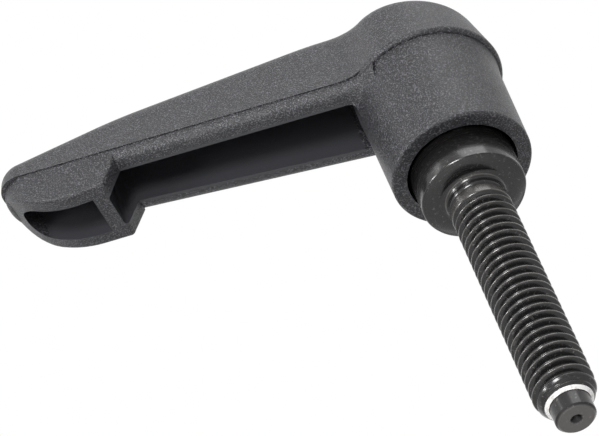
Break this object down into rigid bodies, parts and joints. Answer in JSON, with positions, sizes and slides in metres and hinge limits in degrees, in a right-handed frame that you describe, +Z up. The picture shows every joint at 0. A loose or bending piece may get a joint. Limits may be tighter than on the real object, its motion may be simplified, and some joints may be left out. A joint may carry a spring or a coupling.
{
  "type": "adjustable clamping lever",
  "caption": "Adjustable clamping lever: black moulded handle indexed by teeth on a black oxide M6 threaded stud with a swivelling thrust pin",
  "frame": {"origin": "middle of the collar's seating face, on the stud's axis", "axes": "+Z up the stud's axis from its pin to the hub, -X along the arm, +Y across the arm"},
  "size_m": [0.0519, 0.0158, 0.0601],
  "materials": {
    "handle_plastic": "glass filled polyamide, fine spark eroded texture, charcoal black",
    "oxide_steel": "turned steel, black oxide, oiled",
    "pin_steel": "turned steel, black oxide, satin",
    "spring_steel": "drawn spring wire, bright",
    "screw_steel": "socket screw, black oxide"
  },
  "bodies": {
    "stud": {"threaded_stud": "oxide_steel", "retaining_screw": "screw_steel"},
    "spring": {"return_spring": "spring_steel"},
    "handle": {"handle": "handle_plastic"},
    "pin": {"thrust_pin": "pin_steel"}
  },
  "joints": [
    {"name": "handle_index", "type": "hinge", "parent": "stud", "child": "spring", "pos_m": [0, 0, 0.012], "axis": [0, 0, 1], "continuous": true},
    {"name": "handle_lift", "type": "slide", "parent": "spring", "child": "handle", "axis": [0, 0, 1], "range_m": [0, 0.0032], "stiffness_N_per_m": 1500, "springref_m": -0.003, "deforming": ["return_spring"]},
    {"name": "thrust_pin_swivel", "type": "hinge", "parent": "stud", "child": "pin", "pos_m": [0, 0, -0.03], "axis": [0, 0, 1], "continuous": true}
  ]
}
